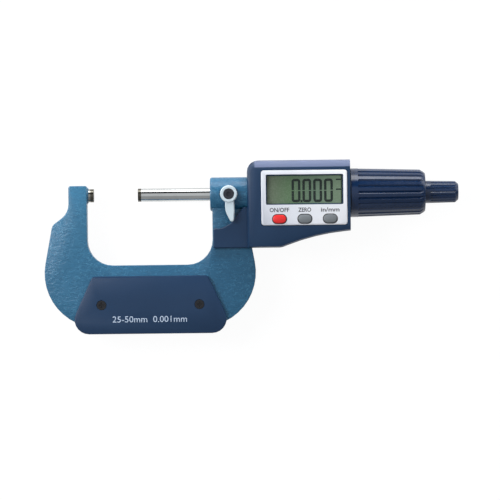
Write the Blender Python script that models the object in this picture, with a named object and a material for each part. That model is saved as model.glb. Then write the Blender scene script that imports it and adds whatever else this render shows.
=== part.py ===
"""Digital outside micrometer for 25 to 50 mm.

Sizes are in millimetres and MM turns them into metres.
The origin is the centre of the anvil's measuring face. +X runs along the spindle
towards the thimble, +Y points up across the frame, and +Z faces the reader of the
display, so the gauge lies on its back.
"""

import math

import bmesh
import bpy
from mathutils import Matrix, Vector

MM = 0.001

# Clearances
RUN = 0.15            # radial, between pieces that turn or slide in each other
PRESS = 0.1           # at pressed, brazed and glued joints
SEAT = 0.3            # between pieces that rest on each other
ROUND_ERROR = 0.09    # how far a facet may lie inside its arc

# Measuring faces and spindle
ZERO_GAP = 25.0       # between the measuring faces with the thimble fully in
TRAVEL = 25.0
SPINDLE_R = 3.75
CARBIDE_L = 1.8
ANVIL_OUT = 3.9       # length of anvil that stands out of the arm
ANVIL_IN = 7.4        # length pressed into the arm
ANVIL_PAD_R = 4.5     # low round pad of the arm, about the anvil
ANVIL_PAD_H = 0.8
KEYWAY_W = 1.2
KEYWAY_DEPTH = 0.9
THREAD_R = 4.0
TAPER_SMALL_R = 3.3

# Frame
THROAT_W = 71.0
THROAT_DEPTH = 39.7
THROAT_R = 14.2
FRAME_T = 11.0
FRAME_RIM = 35.3      # from the throat's floor to the frame's foot
FRAME_EDGE = 1.1
ARM_W = 10.4
ARM_TOP = 5.5
SHOULDER_Y = -9.7
SHOULDER_OUT = 9.35
SHOULDER_DROP = 7.1
SHOULDER_HOLLOW_R = 10.0
SHOULDER_TURN_R = 4.0
FLARE_DEG = 10.6
BOW_R = 30.9
BOSS_R = 9.6
BOSS_L = 23.1
BOSS_OVERHANG = 1.2   # the boss starts this far into the throat
BOSS_EDGE = 1.0
NECK_T = 8.4          # web that ties the boss to the arm
SPIGOT_R = 6.5
SPIGOT_L = 2.4

# Cover plates on the frame
PLATE_TOP_W = 65.4
PLATE_TOP_DROP = 6.1  # below the throat's floor
PLATE_H = 32.7
PLATE_FLARE_DEG = 24.6
PLATE_TOP_R = 2.6
PLATE_FOOT_R = 8.3
PLATE_T = 2.2
PLATE_EDGE = 0.7
PLATE_SCREW_INSET = 5.0
PLATE_SCREW_DROP = 16.3
PLATE_SCREW_HEAD_R = 2.7
PLATE_SCREW_R = 1.3
PLATE_SCREW_L = 6.0

# Spindle lock
LOCK_X = 10.6         # from the boss's open end
LOCK_RING_R = 4.85
LOCK_RING_T = 3.6
LOCK_RING_EDGE = 0.45
LOCK_ARM_L = 15.6
LOCK_ARM_W = 4.9
LOCK_ARM_T = 2.3
LOCK_SEAT_DEPTH = 0.6
LOCK_STUD_R = 2.4
LOCK_STUD_L = 4.2
LOCK_PAD_L = 2.5
LOCK_SCREW_HEAD_R = 2.95
LOCK_SCREW_HEAD_T = 1.8
LOCK_SCREW_R = 1.4
LOCK_SCREW_L = 3.2
LOCK_HEX_R = 1.6
LOCK_HEX_DEPTH = 1.2

# Encoder, from the boss outwards
ROTOR_R = 9.3
FLANGE_T = 1.6
DISC_T = 1.2
AIR_GAP = 0.5
HUB_R = 5.6
HUB_L = 1.8
WAVE_SPRING_H = 1.2
WAVE_SPRING_T = 0.3
CUP_WALL = 0.8

# Barrel
BARREL_R = 8.0
BARREL_WEB = 1.5
BARREL_BORE_GAP = 0.6  # round the spindle's thread
BARREL_OVERLAP = 3.9   # left under the thimble when it is fully out
NUT_L = 14.0           # length of the internal thread
NUT_STEP = 1.0         # how far the split end is turned down
SPLIT_W = 1.0
SPLIT_L = 12.0
ADJUSTING_NUT_L = 7.0
ADJUSTING_NUT_WALL = 1.6
SPANNER_HOLE_R = 0.8

# Window, panel and buttons
WINDOW_W = 43.6
WINDOW_H = 17.0
WINDOW_R = 0.6
WINDOW_T = 0.6
WINDOW_LEDGE = 0.6
RIM_LEFT = 2.7
RIM_RIGHT = 2.2
RIM_TOP = 2.4
KEY_STRIP_H = 11.6    # panel below the window
PANEL_R = 1.5
PANEL_T = 1.1
PANEL_EDGE = 0.5
BUTTON_W = 7.6
BUTTON_H = 4.8
BUTTON_FROM_LEFT = 10.2
BUTTON_FROM_RIGHT = 9.7
BUTTON_FROM_FOOT = 3.5
BUTTON_PROUD = 0.8
BUTTON_FLANGE = 0.7
BUTTON_FLANGE_T = 0.7
BUTTON_EDGE = 0.6
DOME_R = 2.2
DOME_TOP_R = 1.5
DOME_H = 1.2
KEYPAD_T = 0.6
KEYPAD_RIM = 2.8      # keypad round the outer buttons' centres

# Behind the window, from the barrel outwards
BOARD_GAP = 0.6
BOARD_T = 1.0
GLASS_GAP = 1.5       # room for the contact strips behind the glass
GLASS_T = 1.4
GLASS_LAP = 0.8       # glass hidden behind the window's rim
HOLDER_WALL = 1.1
STRIP_W = 1.4

# Housing
WALL = 1.6
HOUSING_LAP = 2.1     # over the boss's end
HOUSING_TOP = 18.6
FACE_LEFT = 7.9       # housing face round the panel
FACE_RIGHT = 1.8
FACE_TOP = 5.7
FACE_FOOT = 3.3
BELLY_DROP = 9.2      # the left part hangs this far below the right end
BELLY_L = 19.2
BELLY_BEND_X = 38.5
BELLY_BEND_Y = 1.8
BELLY_BEND_R = 125.0
HOUSING_CORNER_R = 6.3
HOUSING_EDGE = 2.6
WING_T = 2.4
WING_EDGE = 0.5
WING_TOP_Y = -19.4
WING_HEEL = 4.6       # flat part of its top, from the throat
WING_BEND_X = 10.2    # from the housing
WING_BEND_RISE = 2.8
WING_CREST = 3.1      # where it meets the boss, from the housing
POST_R = 2.2
POST_BITE = 0.3       # how far a post runs into a wall
CASE_SCREW_R = 1.0
CASE_SCREW_HEAD_R = 1.9
CASE_SCREW_L = 20.0

# Battery
BATTERY_X = 12.1      # from the housing's left end
BATTERY_Y = -19.5
BATTERY_R = 5.8
BATTERY_T = 5.4
CAP_LAP = 1.2         # cap beyond the battery's edge
CAP_T = 0.9
CAP_NECK_R = 6.0
COIN_SLOT_W = 1.3
COIN_SLOT_L = 9.0
COIN_SLOT_DEPTH = 0.5
SEAL_R = 0.3
WELL_WALL = 1.0
CONTACT_W = 2.0
CONTACT_T = 0.3

# Thimble
THIMBLE_GAP = 0.6
THIMBLE_L = 42.0
THIMBLE_WALL = 2.54
THIMBLE_TAPER = 1.04
COLLAR_L = 4.2
FLUTES = 24
FLUTE_DEPTH = 0.75
SHOULDER_STEP = 1.3   # how far the chamfer at its end takes the radius down
SHOULDER_L = 0.8
END_CHAMFER_L = 2.2
CORE_WALL = 1.7
CORE_ROOM = 1.0       # between the adjusting nut and the core
CORE_INSET = 1.3
CORE_END_T = 5.0

# Ratchet stop
KNOB_R = 6.35
KNOB_TAPER = 0.3
KNOB_L = 18.9
KNOB_CHAMFER = 1.8
KNOB_SMOOTH_L = 3.0
KNOB_FLUTES = 20
KNOB_FLUTE_DEPTH = 0.35
KNOB_IN = 3.3         # length inside the thimble
KNOB_ROOM = 0.75      # between the knob and the thimble's bore
BASE_T = 2.5
TEETH = 12
TOOTH_H = 0.8
TOOTH_BACKLASH_DEG = 1.5
PAWL_T = 2.4
DRIVE_R = 4.9         # across the corners of the pawl's hexagon
COUNTERBORE_L = 3.0
KNOB_WEB = 3.0
RATCHET_SPRING_R = 3.1
RATCHET_WIRE_R = 0.35
RATCHET_TURNS = 5
SHANK_R = 1.9
SCREW_TIP_R = 1.5
SCREW_TIP_L = 12.0
SCREW_HEAD_R = 3.1
SCREW_HEAD_T = 2.0

# Radii that follow from the sizes above
CUP_R = ROTOR_R + 2 * SEAT + CUP_WALL
BARREL_BORE_R = THREAD_R + BARREL_BORE_GAP
NUT_ZONE_R = BARREL_R - NUT_STEP
CORE_BORE_R = NUT_ZONE_R + ADJUSTING_NUT_WALL + CORE_ROOM
CORE_R = CORE_BORE_R + CORE_WALL
THIMBLE_R = CORE_R + THIMBLE_WALL
THIMBLE_END_R = THIMBLE_R - THIMBLE_TAPER
SHOULDER_R = THIMBLE_END_R - SHOULDER_STEP
KNOB_BORE_R = KNOB_R + KNOB_ROOM
BASE_R = KNOB_BORE_R - 4 * SEAT
CAP_R = BATTERY_R + CAP_LAP

# Stations along the axis
ARM_FACE = -ANVIL_OUT
THROAT_END = ARM_FACE + THROAT_W
THROAT_MID = ARM_FACE + THROAT_W / 2
BOSS_START = THROAT_END - BOSS_OVERHANG
BOSS_END = BOSS_START + BOSS_L
LOCK_AT_X = BOSS_START + LOCK_X
SPIGOT_END = BOSS_END + SPIGOT_L
FLANGE_END = BOSS_END + PRESS + FLANGE_T
STATOR_END = FLANGE_END + PRESS + DISC_T
ROTOR_START = max(STATOR_END, SPIGOT_END) + AIR_GAP
HUB_END = ROTOR_START + DISC_T + HUB_L
WEB_START = HUB_END + WAVE_SPRING_H + 2 * SEAT
WEB_END = WEB_START + BARREL_WEB
HOUSING_START = BOSS_END - HOUSING_LAP
PANEL_LEFT = HOUSING_START + FACE_LEFT
WINDOW_LEFT = PANEL_LEFT + RIM_LEFT
WINDOW_RIGHT = WINDOW_LEFT + WINDOW_W
PANEL_RIGHT = WINDOW_RIGHT + RIM_RIGHT
HOUSING_END = PANEL_RIGHT + FACE_RIGHT
BARREL_END = HOUSING_END + TRAVEL + BARREL_OVERLAP
THIMBLE_START = HOUSING_END + THIMBLE_GAP
THIMBLE_END = THIMBLE_START + THIMBLE_L
CORE_WALL_START = BARREL_END + 3 * SEAT
CORE_END = CORE_WALL_START + CORE_END_T
BASE_START = CORE_END + PRESS
BASE_END = BASE_START + BASE_T
PAWL_FACE = BASE_END + 2 * PRESS + RUN
PAWL_END = PAWL_FACE + TOOTH_H + PAWL_T
KNOB_START = THIMBLE_END - KNOB_IN
KNOB_END = THIMBLE_END + KNOB_L
KNOB_WEB_END = KNOB_END - COUNTERBORE_L
KNOB_WEB_START = KNOB_WEB_END - KNOB_WEB
SCREW_TIP_START = BASE_END + PRESS - SCREW_TIP_L

# Heights above the axis
BOARD_Z = BARREL_R + BOARD_GAP
BOARD_TOP_Z = BOARD_Z + BOARD_T
KEYPAD_Z = BOARD_TOP_Z + SEAT
DOME_TOP_Z = KEYPAD_Z + KEYPAD_T + DOME_H
GLASS_Z = max(BOARD_TOP_Z + GLASS_GAP, CUP_R + 1.3 * SEAT)
INNER_Z = max(GLASS_Z + GLASS_T + 0.4, DOME_TOP_Z + SEAT + BUTTON_FLANGE_T + 0.2)
CASE_Z = INNER_Z + WALL
RECESS_Z = CASE_Z - WALL / 2
PANEL_Z = RECESS_Z + SEAT / 2
PANEL_TOP_Z = PANEL_Z + PANEL_T
PLATE_Z = FRAME_T / 2 + SEAT
PLATE_FACE_Z = PLATE_Z + PLATE_T
LOCK_SEAT_Z = BOSS_R - LOCK_SEAT_DEPTH
LEVER_Z = LOCK_SEAT_Z + SEAT
LEVER_TOP_Z = LEVER_Z + LOCK_RING_T
BATTERY_Z = -INNER_Z + SEAT
BATTERY_TOP_Z = BATTERY_Z + BATTERY_T

# Places across the face
PANEL_TOP = HOUSING_TOP - FACE_TOP
WINDOW_TOP = PANEL_TOP - RIM_TOP
WINDOW_FOOT = WINDOW_TOP - WINDOW_H
PANEL_FOOT = WINDOW_FOOT - KEY_STRIP_H
BUTTON_Y = PANEL_FOOT + BUTTON_FROM_FOOT
BUTTON_FIRST = PANEL_LEFT + BUTTON_FROM_LEFT
BUTTON_LAST = PANEL_RIGHT - BUTTON_FROM_RIGHT
HOUSING_TAIL = PANEL_FOOT - FACE_FOOT
HOUSING_FOOT = HOUSING_TAIL - BELLY_DROP
BATTERY_AT = (HOUSING_START + BATTERY_X, BATTERY_Y, 0)
PLATE_TOP = -THROAT_DEPTH - PLATE_TOP_DROP
PLATE_SCREW_Y = PLATE_TOP - PLATE_SCREW_DROP

# Finishes: sRGB colour, roughness and metallic value
FINISHES = {
    "blue_paint": ((66, 116, 150), 0.42, 0.0),
    "navy_plastic": ((40, 56, 92), 0.5, 0.0),
    "navy_grip": ((38, 50, 84), 0.4, 0.0),
    "ground_steel": ((176, 176, 174), 0.3, 1.0),
    "carbide": ((92, 86, 76), 0.35, 1.0),
    "black_screw": ((38, 36, 36), 0.45, 0.8),
    "white_enamel": ((222, 228, 232), 0.35, 0.0),
    "brass": ((188, 156, 88), 0.35, 1.0),
    "silver_panel": ((222, 226, 236), 0.4, 0.0),
    "clear_plastic": ((230, 236, 232), 0.08, 0.0),
    "display_glass": ((120, 136, 116), 0.3, 0.0),
    "black_plastic": ((30, 30, 32), 0.55, 0.0),
    "grey_rubber": ((120, 122, 124), 0.8, 0.0),
    "green_board": ((34, 92, 58), 0.5, 0.0),
    "red_button": ((222, 46, 40), 0.4, 0.0),
    "grey_button": ((128, 132, 140), 0.5, 0.0),
    "black_rubber": ((26, 26, 24), 0.8, 0.0),
    "dull_steel": ((140, 140, 142), 0.45, 1.0),
}


# Shapes

def arc_sides(radius, sweep=2 * math.pi):
    """How many straight sides an arc needs to stay within ROUND_ERROR."""
    widest = 2 * math.acos(1 - min(ROUND_ERROR / max(radius, ROUND_ERROR), 0.3))
    return max(2, math.ceil(sweep / widest))


def corner_sides(corners, index):
    """A corner of an outline, the sides that run back and on from it, and half the angle between them."""
    corner = Vector(corners[index][:2])
    back = Vector(corners[index - 1][:2]) - corner
    on = Vector(corners[(index + 1) % len(corners)][:2]) - corner
    return corner, back, on, back.angle(on) / 2


def fitting_radius(corners, index):
    """A corner's radius, less where a side is too short for its own arc and its neighbour's."""
    _, back, on, half = corner_sides(corners, index)
    radius = corners[index][2]
    fitting = radius
    for side, other in ((back, index - 1), (on, (index + 1) % len(corners))):
        other_half = corner_sides(corners, other)[3]
        taken = radius / math.tan(half) + corners[other][2] / math.tan(other_half)
        if taken > side.length:
            fitting = min(fitting, radius * side.length / taken)
    return fitting


def rounded(corners):
    """A closed outline from corners (x, y, radius), each rounded by its own arc."""
    outline = []
    for index in range(len(corners)):
        corner, back, on, half = corner_sides(corners, index)
        radius = fitting_radius(corners, index)
        if radius <= 0:
            outline.append(corner)
            continue
        centre = corner + (back.normalized() + on.normalized()).normalized() * radius / math.sin(half)
        arm = corner + back.normalized() * radius / math.tan(half) - centre
        sweep = math.pi - 2 * half
        turn = math.copysign(sweep, back.cross(on) * -1)
        sides = arc_sides(radius, sweep)
        for step in range(sides + 1):
            outline.append(centre + Matrix.Rotation(turn * step / sides, 2) @ arm)
    return outline


def grown(corners, distance):
    """The same corners moved outwards by a distance; the corners run counter-clockwise."""
    result = []
    for index, (x, y, radius) in enumerate(corners):
        corner = Vector((x, y))
        back = (corner - Vector(corners[index - 1][:2])).normalized()
        on = (Vector(corners[(index + 1) % len(corners)][:2]) - corner).normalized()
        normal = Vector((back.y, -back.x))
        mitre = (normal + Vector((on.y, -on.x))).normalized()
        moved = corner + mitre * distance / mitre.dot(normal)
        convex = back.cross(on) > 0
        new_radius = radius + distance if convex else radius - distance
        result.append((moved.x, moved.y, max(new_radius, 0.0) if radius > 0 else 0.0))
    return result


def rectangle(left, bottom, right, top, radius=0.0):
    """Corners of an upright rectangle, counter-clockwise."""
    return [(left, bottom, radius), (right, bottom, radius), (right, top, radius), (left, top, radius)]


def stadium(width, height, grow=0.0):
    """Outline of a long round-ended shape about the origin."""
    radius = height / 2 + grow
    reach = (width - height) / 2
    outline = []
    for end in (1, -1):
        for step in range(7):
            angle = math.radians(-90 + 30 * step)
            outline.append(Vector((end * (reach + radius * math.cos(angle)), end * radius * math.sin(angle))))
    return outline


def prism(outline, low, high):
    """An outline pushed straight up from one height to another."""
    shape = bmesh.new()
    ring = [shape.verts.new((point[0] * MM, point[1] * MM, low * MM)) for point in outline]
    floor = shape.faces.new(ring)
    pushed = bmesh.ops.extrude_face_region(shape, geom=[floor])["geom"]
    raised = [item for item in pushed if isinstance(item, bmesh.types.BMVert)]
    bmesh.ops.translate(shape, verts=raised, vec=(0, 0, (high - low) * MM))
    bmesh.ops.recalc_face_normals(shape, faces=shape.faces)
    return shape


def box(low, high):
    """A rectangular block between two corners."""
    return prism(rounded(rectangle(low[0], low[1], high[0], high[1])), low[2], high[2])


def about_axis(along, radius, angle):
    """The point at this place along the X axis, and this far and this way round from it."""
    return Vector((along, radius * math.sin(angle), radius * math.cos(angle)))


def loft(rings, tube=True):
    """A closed skin through rings of points. A tube's last ring joins its first, others get flat ends."""
    shape = bmesh.new()
    loops = [[shape.verts.new(Vector(point) * MM) for point in ring] for ring in rings]
    after = loops[1:] + loops[:1] if tube else loops[1:]
    for here, there in zip(loops, after):
        for step in range(len(here)):
            beside = (step + 1) % len(here)
            shape.faces.new((here[step], here[beside], there[beside], there[step]))
    if not tube:
        shape.faces.new(loops[0])
        shape.faces.new(loops[-1])
    bmesh.ops.recalc_face_normals(shape, faces=shape.faces)
    return shape


def turned(profile, sides, axis="X"):
    """A profile of (place along the axis, radius) turned about it. One that starts at radius 0 is solid."""
    solid = profile[0][1] == 0
    rings = []
    for along, radius in profile[1:-1] if solid else profile:
        rings.append([about_axis(along, radius, 2 * math.pi * step / sides) for step in range(sides)])
    shape = loft(rings, tube=not solid)
    if axis == "Z":
        bmesh.ops.rotate(shape, verts=shape.verts, cent=(0, 0, 0),
                         matrix=Matrix.Rotation(-math.pi / 2, 3, "Y"))
    return shape


def rod(start, end, radius, sides=24, axis="X"):
    """A plain round bar."""
    return turned([(start, 0), (start, radius), (end, radius), (end, 0)], sides, axis)


def around(radius, clearance, sides):
    """Radius of a hole with this many sides whose flats clear a round piece."""
    return (radius + clearance) / math.cos(math.pi / sides)


def placed(shape, places):
    """Copies of a shape at several places, in one mesh."""
    mesh = bpy.data.meshes.new("copies")
    shape.to_mesh(mesh)
    shape.free()
    group = bmesh.new()
    for place in places:
        start = len(group.verts)
        group.from_mesh(mesh)
        group.verts.ensure_lookup_table()
        bmesh.ops.translate(group, verts=group.verts[start:], vec=[value * MM for value in place])
    bpy.data.meshes.remove(mesh)
    return group


def flipped(shape):
    """The same shape mirrored through the plane of the spindle, front to back."""
    bmesh.ops.scale(shape, verts=shape.verts, vec=(1, 1, -1))
    bmesh.ops.reverse_faces(shape, faces=shape.faces)
    return shape


# Objects, finishes and cuts

def linear(colour):
    """An 8-bit sRGB colour as linear values with alpha."""
    values = []
    for part in colour:
        share = part / 255
        values.append(share / 12.92 if share <= 0.04045 else ((share + 0.055) / 1.055) ** 2.4)
    return (*values, 1.0)


def finish_material(name, finish):
    """A material of the object's own."""
    colour, roughness, metallic = FINISHES[finish]
    material = bpy.data.materials.new(name)
    material.use_nodes = True
    shader = material.node_tree.nodes["Principled BSDF"]
    shader.inputs["Base Color"].default_value = linear(colour)
    shader.inputs["Roughness"].default_value = roughness
    shader.inputs["Metallic"].default_value = metallic
    material.diffuse_color = linear(colour)
    return material


def place_object(name, shape, place):
    """Link a shape into the scene as an object."""
    mesh = bpy.data.meshes.new(name)
    shape.to_mesh(mesh)
    shape.free()
    item = bpy.data.objects.new(name, mesh)
    item.location = [value * MM for value in place]
    bpy.context.collection.objects.link(item)
    return item


def piece(name, shape, finish, place=(0, 0, 0)):
    """One physical piece of the gauge."""
    item = place_object(name, shape, place)
    item.data.materials.append(finish_material(name, finish))
    item.data.shade_smooth()
    item.data.set_sharp_from_angle(angle=math.radians(35))
    return item


def combine(item, operation, name, shape, place=(0, 0, 0)):
    """Join a shape to a piece, or cut it out of the piece."""
    tool = place_object(name, shape, place)
    tool.hide_render = True
    tool.display_type = "WIRE"
    modifier = item.modifiers.new(name, "BOOLEAN")
    modifier.operation = operation
    modifier.solver = "EXACT"
    modifier.object = tool


def join(item, name, shape, place=(0, 0, 0)):
    combine(item, "UNION", "add_" + name, shape, place)


def cut(item, name, shape, place=(0, 0, 0)):
    combine(item, "DIFFERENCE", "cut_" + name, shape, place)


def soften(item, width, segments=2, angle=50):
    """Round a piece's sharp edges."""
    modifier = item.modifiers.new("soft_edges", "BEVEL")
    modifier.width = width * MM
    modifier.segments = segments
    modifier.limit_method = "ANGLE"
    modifier.angle_limit = math.radians(angle)


# Frame, anvil and cover plates

def frame_corners():
    """Outline of the cast frame, a bow with the same arm on both sides."""
    left = ARM_FACE - ARM_W
    foot = -THROAT_DEPTH - FRAME_RIM
    turn_x = left - SHOULDER_OUT
    turn_y = SHOULDER_Y - SHOULDER_DROP
    foot_x = turn_x - (turn_y - foot) * math.tan(math.radians(FLARE_DEG))
    side = [
        (ARM_FACE, ARM_TOP, 0.8),
        (left, ARM_TOP, 1.2),
        (left, SHOULDER_Y, SHOULDER_HOLLOW_R),
        (turn_x, turn_y, SHOULDER_TURN_R),
        (foot_x, foot, BOW_R),
    ]
    other_side = [(2 * THROAT_MID - x, y, radius) for x, y, radius in reversed(side)]
    throat = [(THROAT_END, -THROAT_DEPTH, THROAT_R), (ARM_FACE, -THROAT_DEPTH, THROAT_R)]
    return side + other_side + throat


def arm_edge(y):
    """Outer edge of the right arm at a height below its shoulder."""
    turn_x = ARM_FACE - ARM_W - SHOULDER_OUT
    drop = SHOULDER_Y - SHOULDER_DROP - y
    return 2 * THROAT_MID - turn_x + drop * math.tan(math.radians(FLARE_DEG))


def boss_shape():
    """Round boss and spigot that guide the spindle."""
    edge = BOSS_EDGE
    profile = [
        (BOSS_START, 0),
        (BOSS_START, BOSS_R - edge),
        (BOSS_START + 0.3 * edge, BOSS_R - 0.3 * edge),
        (BOSS_START + edge, BOSS_R),
        (BOSS_END - 0.4, BOSS_R),
        (BOSS_END, BOSS_R - 0.4),
        (BOSS_END, SPIGOT_R),
        (SPIGOT_END, SPIGOT_R),
        (SPIGOT_END, 0),
    ]
    return turned(profile, 32)


def plate_screw_places():
    half = PLATE_TOP_W / 2 - PLATE_SCREW_INSET
    return [(THROAT_MID + side * half, PLATE_SCREW_Y, 0) for side in (-1, 1)]


def make_frame():
    frame = piece("frame", prism(rounded(frame_corners()), -FRAME_T / 2, FRAME_T / 2), "blue_paint")
    soften(frame, FRAME_EDGE, angle=45)
    join(frame, "boss", boss_shape())
    neck = box((THROAT_END + ARM_W - 1, SHOULDER_Y - SHOULDER_DROP - 3, -NECK_T / 2),
               (HOUSING_START - SEAT, 2.5 - BOSS_R, NECK_T / 2))
    join(frame, "neck", neck)
    pad_face = ARM_FACE + ANVIL_PAD_H
    pad = [(ARM_FACE - 1, 0), (ARM_FACE - 1, ANVIL_PAD_R), (pad_face - 0.4, ANVIL_PAD_R),
           (pad_face, ANVIL_PAD_R - 0.4), (pad_face, 0)]
    join(frame, "anvil_pad", turned(pad, 24))
    cut(frame, "spindle_bore", rod(BOSS_START - 1, SPIGOT_END + 1, around(SPINDLE_R, RUN, 24), 24))
    anvil_bore_start = ARM_FACE - ANVIL_IN - PRESS
    cut(frame, "anvil_bore", rod(anvil_bore_start, ARM_FACE + 1, around(SPINDLE_R, PRESS, 24), 24))
    seat_r = LOCK_RING_R + 2 * SEAT
    bore = around(LOCK_STUD_R, RUN, 20)
    lock_profile = [(0, 0), (0, bore), (LOCK_SEAT_Z, bore), (LOCK_SEAT_Z, seat_r), (BOSS_R + 1, seat_r),
                    (BOSS_R + 1, 0)]
    cut(frame, "lock_bore", turned(lock_profile, 20, "Z"), (LOCK_AT_X, 0, 0))
    hole = rod(-FRAME_T, FRAME_T, around(PLATE_SCREW_R, PRESS, 12), 12, "Z")
    cut(frame, "plate_screw_holes", placed(hole, plate_screw_places()))


def make_anvil():
    """The pressed-in anvil and its hard tip, whose face is the gauge's origin."""
    shank_start = ARM_FACE - ANVIL_IN
    shank_end = -CARBIDE_L - PRESS
    shank = [(shank_start, 0), (shank_start, SPINDLE_R - 0.3), (shank_start + 0.3, SPINDLE_R),
             (shank_end, SPINDLE_R), (shank_end, 0)]
    piece("anvil", turned(shank, 24), "ground_steel")
    tip = [(-CARBIDE_L, 0), (-CARBIDE_L, SPINDLE_R), (-0.15, SPINDLE_R), (0, SPINDLE_R - 0.15), (0, 0)]
    piece("anvil_tip", turned(tip, 24), "carbide")


def plate_corners():
    """Outline of a cover plate: a narrow top, flared sides and a round foot."""
    half_top = PLATE_TOP_W / 2
    half_foot = half_top + PLATE_H * math.tan(math.radians(PLATE_FLARE_DEG))
    foot = PLATE_TOP - PLATE_H
    return [
        (THROAT_MID - half_top, PLATE_TOP, PLATE_TOP_R),
        (THROAT_MID - half_foot, foot, PLATE_FOOT_R),
        (THROAT_MID + half_foot, foot, PLATE_FOOT_R),
        (THROAT_MID + half_top, PLATE_TOP, PLATE_TOP_R),
    ]


def frame_with_gap():
    """The frame's outline with a seat's gap round it, for what fits against its edge."""
    return rounded(grown(frame_corners(), SEAT))


def countersunk_screw(face, head_r, shank_r, length):
    """A countersunk screw along Z whose head is flush with a face."""
    cone = head_r - shank_r
    low = face - length
    profile = [(low, 0), (low, shank_r), (face - cone - 0.3, shank_r), (face - 0.3, head_r),
               (face, head_r), (face, 0)]
    return turned(profile, 10, "Z")


def countersink(face, head_r, shank_r, depth):
    """The cutter for a countersunk screw's hole."""
    cone = head_r - shank_r
    low = face - depth
    profile = [(low, 0), (low, shank_r), (face - cone - 0.35, shank_r), (face - 0.35, head_r),
               (face + 1, head_r), (face + 1, 0)]
    return turned(profile, 12, "Z")


def cross_recess(face, reach):
    """The cross that a screwdriver fits, as a cutter that runs out of the face."""
    half = reach * 0.3
    quarter = [(half, -half), (reach, -half), (reach, half)]
    cross = []
    for turn in range(4):
        cross += [Matrix.Rotation(turn * math.pi / 2, 2) @ Vector(point) for point in quarter]
    return prism(cross, face - reach * 0.6, face + 1)


def make_screw(name, shape, face, head_r, place, turn):
    """A black screw with a cross recess in its head."""
    screw = piece(name, turn(shape), "black_screw", place)
    cut(screw, name + "_cross", turn(cross_recess(face, head_r * 0.6)), place)


def make_cover_plate(side, turn):
    """A moulded plate that covers one face of the frame and wraps under its foot, with its screws."""
    face = PLATE_FACE_Z
    name = "cover_plate_" + side
    plate = piece(name, turn(prism(rounded(plate_corners()), SEAT / 2, face)), "navy_plastic")
    soften(plate, PLATE_EDGE, angle=60)
    cut(plate, name + "_frame", turn(prism(frame_with_gap(), -1, PLATE_Z)))
    hole = countersink(face, around(PLATE_SCREW_HEAD_R, PRESS, 12), around(PLATE_SCREW_R, RUN, 12), face)
    cut(plate, name + "_holes", turn(placed(hole, plate_screw_places())))
    for hand, place in zip(("left", "right"), plate_screw_places()):
        screw = countersunk_screw(face - PRESS, PLATE_SCREW_HEAD_R, PLATE_SCREW_R, PLATE_SCREW_L)
        make_screw(f"cover_screw_{side}_{hand}", screw, face - PRESS, PLATE_SCREW_HEAD_R, place, turn)


# Spindle lock

def lever_corners():
    """Outline of the lock lever's arm, a leaf that curves to a round point."""
    left = -LOCK_ARM_W * 0.42
    right = LOCK_ARM_W * 0.58
    tip = -LOCK_ARM_L
    return [
        (left, 0, 0),
        (left, tip * 0.62, 9.0),
        (right * 0.3, tip, 1.0),
        (right * 0.97, tip, 1.0),
        (right * 1.16, tip * 0.6, 12.0),
        (right, 0, 0),
    ]


def make_lock():
    """Lever, its screw and stud, which turn together, and the pad that grips the spindle."""
    place = (LOCK_AT_X, 0, 0)
    top = LEVER_TOP_Z
    edge = LOCK_RING_EDGE
    ring = [(LEVER_Z, 0), (LEVER_Z, LOCK_RING_R), (top - edge, LOCK_RING_R),
            (top, LOCK_RING_R - edge), (top, 0)]
    lever = piece("lock_lever", turned(ring, 24, "Z"), "white_enamel", place)
    arm_low = BOSS_R + SEAT
    arm = prism(rounded(lever_corners()), arm_low, arm_low + LOCK_ARM_T)
    rim = [edge for edge in arm.edges if all(vert.co.z > (arm_low + 1) * MM for vert in edge.verts)]
    bmesh.ops.bevel(arm, geom=rim, offset=0.5 * MM, segments=1, affect="EDGES")
    join(lever, "lever_arm", arm, place)
    head_bore = around(LOCK_SCREW_HEAD_R, RUN, 24)
    shank_bore = around(LOCK_SCREW_R, RUN, 24)
    shoulder = top - LOCK_SCREW_HEAD_T
    bore = [(LEVER_Z - 1, 0), (LEVER_Z - 1, shank_bore), (shoulder, shank_bore), (shoulder, head_bore),
            (top + 1, head_bore), (top + 1, 0)]
    cut(lever, "lever_bore", turned(bore, 24, "Z"), place)

    stud_top = LEVER_Z - PRESS
    stud_low = stud_top - LOCK_STUD_L
    stud = piece("lock_stud", rod(stud_low, stud_top, LOCK_STUD_R, 20, "Z"), "dull_steel", place)
    tapped = rod(stud_low + 0.8, stud_top + 1, around(LOCK_SCREW_R, PRESS, 16), 16, "Z")
    cut(stud, "stud_thread", tapped, place)

    head_low = shoulder + PRESS
    screw_profile = [(head_low - LOCK_SCREW_L, 0), (head_low - LOCK_SCREW_L, LOCK_SCREW_R),
                     (head_low, LOCK_SCREW_R), (head_low, LOCK_SCREW_HEAD_R),
                     (top - 0.2, LOCK_SCREW_HEAD_R), (top, LOCK_SCREW_HEAD_R - 0.2), (top, 0)]
    screw = piece("lock_screw", turned(screw_profile, 24, "Z"), "black_screw", place)
    cut(screw, "hex_socket", rod(top - LOCK_HEX_DEPTH, top + 1, LOCK_HEX_R, 6, "Z"), place)

    pad_top = stud_low - RUN
    pad = piece("lock_pad", rod(pad_top - LOCK_PAD_L, pad_top, LOCK_STUD_R, 20, "Z"), "brass", place)
    grip = rod(LOCK_AT_X - 2 * LOCK_STUD_R, LOCK_AT_X + 2 * LOCK_STUD_R, around(SPINDLE_R, RUN, 32), 32)
    cut(pad, "pad_grip", grip)


# Encoder and barrel

def ring_profile(start, end, inner, outer):
    """Profile of a plain ring about an axis."""
    return [(start, inner), (start, outer), (end, outer), (end, inner)]


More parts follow.
